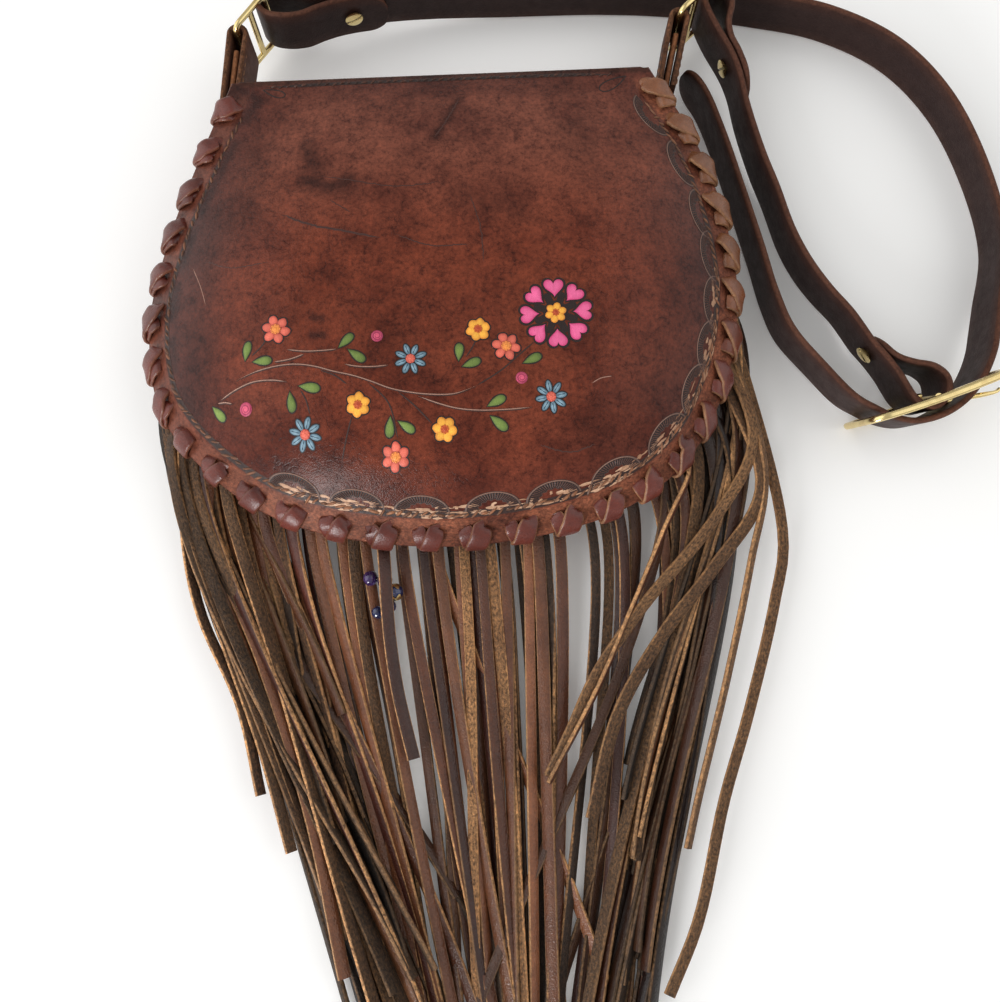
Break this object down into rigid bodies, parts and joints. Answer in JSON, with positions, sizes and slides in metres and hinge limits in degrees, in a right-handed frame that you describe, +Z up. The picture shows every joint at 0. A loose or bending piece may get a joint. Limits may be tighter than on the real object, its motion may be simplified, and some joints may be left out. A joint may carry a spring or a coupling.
{
  "type": "tooled leather shoulder bag",
  "caption": "Shoulder bag of tooled leather lying on its back: domed flap with a laced edge, long fringe round the pocket, and a buckled strap on brass rings.",
  "frame": {"origin": "on the floor, under the middle of the back panel that the bag lies on", "axes": "seen from above +X runs to the right, +Y towards the top of the bag and +Z up from the floor"},
  "size_m": [0.3921, 0.5546, 0.063],
  "materials": {
    "body_leather": "dyed veg-tanned leather, satin",
    "flap_leather": "tooled and burnished leather, satin",
    "lace": "waxed lace, glossy",
    "fringe_leather": "soft leather with a suede back",
    "strap_leather": "dark dyed leather with brown edges",
    "brass": "polished pale brass",
    "bead_glass": "tinted glass"
  },
  "bodies": {
    "root": {"back_panel": "body_leather", "gusset": "body_leather", "front_panel": "body_leather", "flap": "flap_leather", "flap_lacing": "lace", "fringe": "fringe_leather", "tab_left": "body_leather", "tab_right": "body_leather", "ring_left": "brass", "ring_right": "brass", "strap_long": "strap_leather", "strap_short": "strap_leather", "screw_left": "brass", "screw_right": "brass", "screw_buckle": "brass", "buckle_frame": "brass", "buckle_tongue": "brass", "bead_charm": "bead_glass"}
  },
  "joints": []
}
